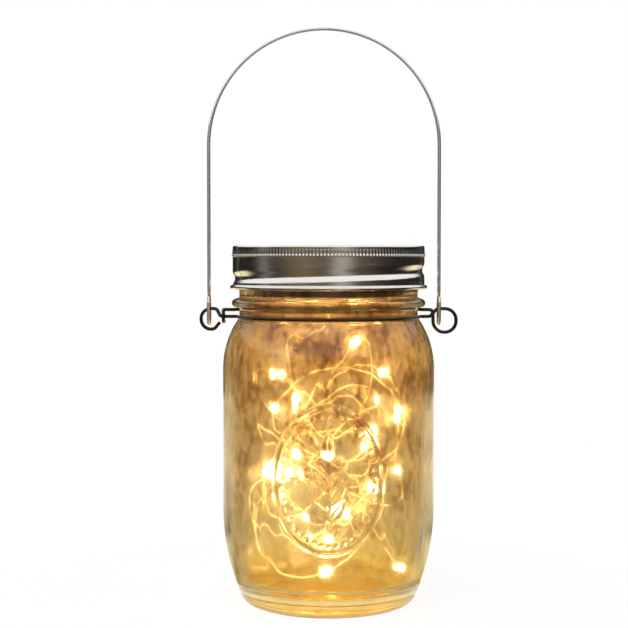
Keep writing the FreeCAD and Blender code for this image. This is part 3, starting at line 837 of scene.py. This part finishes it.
# Presses the thread groove into the wall
def bandShape(row, angle, r, z):
    s = band
    if r < s["outer"] - s["sheet"] - s["wallSlack"] or r > s["outer"] + s["wallSlack"]:
        return r, z
    depth = 0.0
    for lap in (-1, 0, 1):
        turns = ((angle - front + math.pi) % (2 * math.pi) - math.pi) / (2 * math.pi) + lap
        fade = soft((s["grooveTurns"] - abs(turns)) / s["grooveFade"])
        off = abs(z - s["groove"] - s["groovePitch"] * turns) / s["grooveHalf"]
        depth = max(depth, s["grooveDepth"] * fade * soft(s["grooveSteep"] * (1 - off)))
    return r - depth, z


bandAngles = [2 * math.pi * i / band["columns"] for i in range(band["columns"])]
screwBand = turned("screwBand", bandProfile(), bandAngles, bandShape, True, tinplate)


# One flute of the knurl: a half-round rib that ends in a rounder foot
def fluteMesh():
    s = band
    steps = s["fluteSteps"]
    tall = s["fluteTop"] - s["fluteFoot"]
    vertices = []
    for share, wide, proud in s["fluteShape"]:
        height = s["fluteFoot"] + tall * share
        for i in range(steps + 1):
            lean = math.pi * i / steps
            out = s["outer"] - s["fluteSunk"] + s["fluteProud"] * proud * math.sin(lean)
            aside = -s["fluteHalf"] * wide * math.cos(lean)
            vertices.append((out * mm, aside * mm, height * mm))
    faces = []
    for row in range(len(s["fluteShape"]) - 1):
        for i in range(steps):
            a = row * (steps + 1) + i
            b = a + steps + 1
            faces.append([a, a + 1, b + 1, b])
    return vertices, faces


bandKnurl = newPiece("bandKnurl", *fluteMesh(), tinplate)
knurlTree, add, given = newTree("knurlRing", {"Count": ("NodeSocketInt", 8)})
count = given.outputs["Count"]
ring = add("GeometryNodeMeshCircle", {"fill_type": "NONE"}, {"Vertices": count, "Radius": 0.0})
number = add("GeometryNodeInputIndex", {}, {})
share = add("ShaderNodeMath", {"operation": "DIVIDE"}, {0: number.outputs[0], 1: count})
lean = add("ShaderNodeMath", {"operation": "MULTIPLY"}, {0: share.outputs[0], 1: 2 * math.pi})
spun = add("ShaderNodeCombineXYZ", {}, {"Z": lean.outputs[0]})
turn = add("FunctionNodeEulerToRotation", {}, {0: spun.outputs[0]})
copies = add(
    "GeometryNodeInstanceOnPoints",
    {},
    {"Points": ring.outputs[0], "Instance": given.outputs["Geometry"], "Rotation": turn.outputs[0]},
)
real = add("GeometryNodeRealizeInstances", {}, {"Geometry": copies.outputs[0]})
dressed = add("GeometryNodeSetMaterial", {}, {"Geometry": real.outputs[0], "Material": tinplate})
add("NodeGroupOutput", {}, {"Geometry": dressed.outputs[0]})
grown(bandKnurl, knurlTree, {"Count": band["flutes"]})
for piece in (screwBand, bandKnurl):
    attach(piece, "band")
    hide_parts("screw_band")
print("band:", len(screwBand.data.polygons), "faces, knurl", len(bandKnurl.data.polygons))


# Finishes of the pieces that keep their solid shape. Specks and blotches nine times as wide vary each.
def plainFinish(name, dark, pale, rough, metal=0.0, grain=400.0, relief=0.00003, **more):
    finish = Finish(name)
    speck = finish.noise(scale=grain, detail=4.0)
    broad = finish.noise(scale=grain / 9, detail=3.0)
    return finish.done(
        finish.surface(
            Base_Color=finish.mix(broad, dark, pale),
            Metallic=metal,
            Roughness=speck * 0.12 + broad * 0.08 + rough,
            Normal=finish.bump(speck, distance=relief, strength=0.6),
            **more,
        )
    )


bailSteel = plainFinish("bailSteel", (0.66, 0.65, 0.64), (0.80, 0.79, 0.78), 0.12, 0.85, 900.0, 0.000002)
# Painted shade: the neck wire is the bail's steel, made near black for the shade round the neck
shadedNeckSteel = plainFinish("shadedNeckSteel", (0.035, 0.029, 0.024), (0.10, 0.085, 0.07), 0.20, 1.0, 900.0, 0.00001)
blackPlastic = plainFinish("blackPlastic", (0.012, 0.012, 0.012), (0.022, 0.021, 0.020), 0.38, 0.0, 1500.0)
softRubber = plainFinish("softRubber", (0.55, 0.55, 0.52), (0.64, 0.64, 0.61), 0.5)
whiteBoard = plainFinish("whiteBoard", (0.72, 0.72, 0.68), (0.80, 0.80, 0.77), 0.4)
chipBlack = plainFinish("chipBlack", (0.015, 0.015, 0.016), (0.028, 0.028, 0.03), 0.42)
ferrite = plainFinish("ferrite", (0.06, 0.06, 0.065), (0.10, 0.10, 0.105), 0.5)
batterySleeve = plainFinish(
    "batterySleeve", (0.03, 0.22, 0.07), (0.05, 0.28, 0.09), 0.22, 0.0, 250.0, 0.00001
)
nickel = plainFinish("nickel", (0.55, 0.53, 0.48), (0.66, 0.64, 0.60), 0.16, 1.0)
switchCase = plainFinish("switchCase", (0.45, 0.45, 0.44), (0.56, 0.56, 0.55), 0.22, 1.0)
switchKnob = plainFinish("switchKnob", (0.02, 0.02, 0.02), (0.035, 0.035, 0.035), 0.36)
screwSteel = plainFinish("screwSteel", (0.45, 0.45, 0.44), (0.58, 0.57, 0.56), 0.18, 1.0)
boardGreen = plainFinish("boardGreen", (0.012, 0.11, 0.035), (0.02, 0.15, 0.05), 0.24, 0.0, 300.0)
clearWindow = plainFinish(
    "clearWindow",
    dark=(0.95, 0.97, 0.98),
    pale=(0.98, 0.99, 1.0),
    rough=0.02,
    grain=300.0,
    relief=0.000004,
    Transmission_Weight=1.0,
    IOR=1.45,
)

# Solar cells: deep blue with fine silver fingers across
cell = {"fingerPitch": 0.0016, "fingerHalf": 0.00016, "fingerMetal": 0.8}
cellFinish = Finish("solarCell")
fromFinger = (cellFinish.place("Y").repeat(cell["fingerPitch"]) - cell["fingerPitch"] / 2).far()
fingers = (cell["fingerHalf"] - fromFinger).over(0.0)
crystal = cellFinish.noise(scale=180.0, detail=2.0)
blue = cellFinish.mix(crystal, (0.014, 0.03, 0.15), (0.03, 0.06, 0.26))
solarCell = cellFinish.done(
    cellFinish.surface(
        Base_Color=cellFinish.mix(fingers, blue, (0.5, 0.5, 0.52)),
        Metallic=fingers * cell["fingerMetal"],
        Roughness=crystal * 0.1 + 0.2,
        Coat_Weight=0.4,
    )
)

dressing = {
    "neck_wire": shadedNeckSteel,
    "bail_handle": bailSteel,
    "sealing_gasket": softRubber,
    "lid_housing": blackPlastic,
    "bottom_cover": blackPlastic,
    "solar_board": whiteBoard,
    "solar_cells": solarCell,
    "panel_window": clearWindow,
    "circuit_board": boardGreen,
    "driver_chip": chipBlack,
    "choke": ferrite,
    "battery": batterySleeve,
    "positive_contact": nickel,
    "negative_contact": nickel,
    "switch_body": switchCase,
    "switch_slider": switchKnob,
    "cover_screws": screwSteel,
    "wire_grommet": softRubber,
}
for name, material in dressing.items():
    nodes[name].data.materials.clear()
    nodes[name].data.materials.append(material)
print("finishes:", len(dressing), "nodes dressed")


# White studio: a pale floor and a white surround for the eye, the metal and the glass
studio = {
    "floorSize": 30.0,
    "floor": (0.86, 0.86, 0.85),
    "floorRough": 0.7,
    "keep": 0.10,  # share of its own shading that the floor keeps under the jar
    "keepReach": 0.14,  # and the radius at which none is left
    "white": (1.0, 1.0, 1.0),
    "fill": 0.55,
}
lamps = {
    "topSoftbox": {
        "place": (-0.15, -0.35, 0.95),
        "target": (0, 0, 0.12),
        "size": 0.7,
        "power": 7.0,
        "colour": (1.0, 0.98, 0.95),
    },
    "leftSoftbox": {
        "place": (-0.9, -0.7, 0.5),
        "target": (0, 0, 0.1),
        "size": 0.5,
        "power": 3.5,
        "colour": (1.0, 0.97, 0.93),
    },
}


# 1 for the eye, for mirrors and through glass, 0 for the light that falls on things
def seenDirectly(finish):
    rays = ("Is Camera Ray", "Is Glossy Ray", "Is Transmission Ray")
    eye, mirrored, through = (finish.add("ShaderNodeLightPath", output=ray) for ray in rays)
    return eye.most(mirrored).most(through)


floorFinish = Finish("paleFloor")
paint = floorFinish.surface(Base_Color=studio["floor"], Roughness=studio["floorRough"])
bright = floorFinish.glow(studio["white"])
away = floorFinish.place("X") ** 2.0 + floorFinish.place("Y") ** 2.0
near = (1 - away / studio["keepReach"] ** 2).most(0.0)
shown = seenDirectly(floorFinish) * (1 - near * studio["keep"])
paleFloor = floorFinish.done(floorFinish.mixSurfaces(shown, paint, bright))
half = studio["floorSize"] / 2
floorCorners = [(-half, -half, 0), (half, -half, 0), (half, half, 0), (-half, half, 0)]
floorPiece = newPiece("floor", floorCorners, [[0, 1, 2, 3]], paleFloor)

scene.world = bpy.data.worlds.new("studioWorld")
scene.world.use_nodes = True
around = Finish("studioWorld", scene.world.node_tree)
level = seenDirectly(around) * (1 - studio["fill"]) + studio["fill"]
backdrop = around.add("ShaderNodeBackground", None, {"Color": studio["white"], "Strength": level})
around.add("ShaderNodeOutputWorld", None, {"Surface": backdrop})


def areaLight(name, place, target, size, power, colour):
    lamp = bpy.data.lights.new(name, "AREA")
    lamp.shape = "DISK"
    lamp.size = size
    lamp.energy = power
    lamp.color = colour
    light = bpy.data.objects.new(name, lamp)
    light.location = place
    light.rotation_mode = "QUATERNION"
    light.rotation_quaternion = (Vector(target) - Vector(place)).to_track_quat("-Z", "Y")
    light.visible_glossy = False
    scene.collection.objects.link(light)


for name, lamp in lamps.items():
    areaLight(name, **lamp)


# A dark room round the set, open above, that only mirror-like surfaces see
room = {
    "inner": 0.042,
    "outer": 1.3,
    "tall": 0.5,
    "columns": 120,
    "floorHeight": 0.001,
    "radiusSlack": 0.001,
    "dark": (0.016, 0.015, 0.014),
    "pale": (104, 126),  # where the floor turns pale, in degrees from the camera
    "paleTone": (1.15, 0.98, 0.64),
    "paleNear": (0.095, 0.13),  # pale up to the first radius, dark from the second
    "paleFar": (0.24, 0.75, 0.86),  # pale from the first radius to the second, dark from the third
    "skirting": 0.09,
    "glow": [  # place to the right of the camera in degrees, half width, colour
        (16, 12, (0.40, 0.36, 0.30)),
        (-30, 30, (0.15, 0.11, 0.06)),
        (45, 20, (0.06, 0.04, 0.025)),
        (-82, 9, (0.16, 0.15, 0.13)),
    ],
}


def roomShade(aside):
    shade = list(room["dark"])
    for middle, half, colour in room["glow"]:
        share = math.exp(-(((aside - middle) / half) ** 2))
        shade = [s + share * c for s, c in zip(shade, colour)]
    return shade


roomFinish = Finish("darkRoom")
darkRoom = roomFinish.done(roomFinish.glow(roomFinish.attribute("tone", "Color")))
paleRadii = [room["inner"], room["paleNear"][0], room["paleFar"][0], room["paleFar"][1]]
darkRadii = [room["paleNear"][1], room["paleFar"][2], room["outer"]]
roomProfile = [(r, room["floorHeight"]) for r in sorted(paleRadii + darkRadii)]
roomProfile += [(room["outer"], room["skirting"]), (room["outer"], room["tall"])]
roomProfile = [(r / mm, z / mm) for r, z in roomProfile]
roomAngles = [2 * math.pi * i / room["columns"] for i in range(room["columns"])]
roomRing = turned("roomRing", roomProfile, roomAngles, lambda row, angle, r, z: (r, z), False, darkRoom)
tones = roomRing.data.color_attributes.new("tone", "FLOAT_COLOR", "POINT")
for vertex, item in zip(roomRing.data.vertices, tones.data):
    aside = math.degrees(math.atan2(vertex.co.x, -vertex.co.y))
    shade = roomShade(aside)
    if min(abs(vertex.co.xy.length - r) for r in paleRadii) < room["radiusSlack"]:
        start, end = room["pale"]
        pale = soft((abs(aside) - start) / (end - start))
        shade = [s + (p - s) * pale for s, p in zip(shade, room["paleTone"])]
    item.color = (*shade, 1.0)
roomRing.visible_camera = False
roomRing.visible_diffuse = False
roomRing.visible_transmission = False
roomRing.visible_shadow = False
